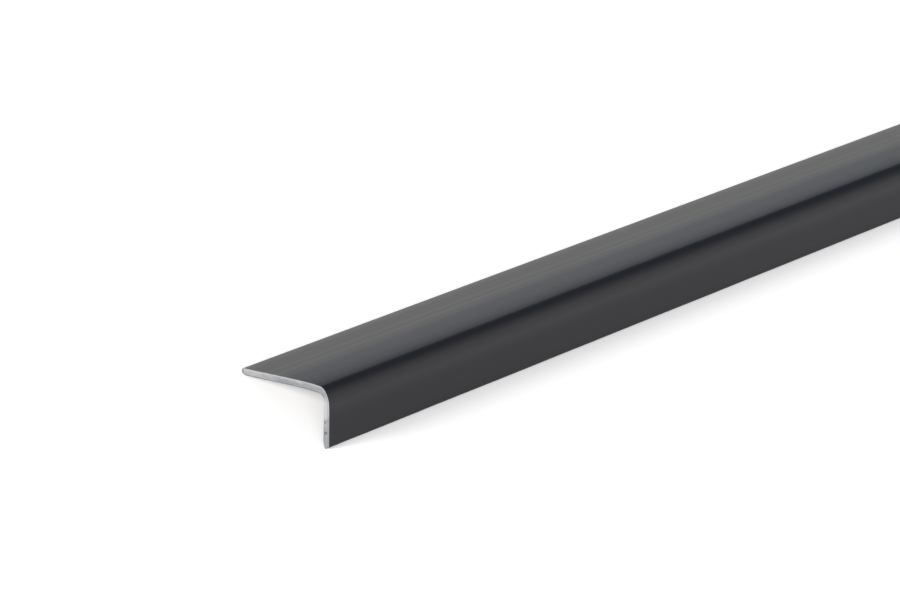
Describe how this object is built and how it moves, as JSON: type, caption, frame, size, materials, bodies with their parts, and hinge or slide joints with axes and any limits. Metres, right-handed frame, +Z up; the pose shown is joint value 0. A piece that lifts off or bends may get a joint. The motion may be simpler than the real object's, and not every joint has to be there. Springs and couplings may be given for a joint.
{
  "type": "pvc corner angle",
  "caption": "Straight L-section strip in rigid PVC for covering a corner, with a wide flange, a narrow leg, a round outer bend and square cut ends.",
  "frame": {"origin": "on the floor, at the middle of the box of the strip as it lies on its two long edges with the bend up", "axes": "+X along the strip, +Y from the narrow leg towards the free edge of the wide flange, +Z up from the floor"},
  "size_m": [1, 0.0314, 0.0091],
  "materials": {
    "pvc": "satin"
  },
  "bodies": {
    "root": {"corner_angle": "pvc"}
  },
  "joints": []
}
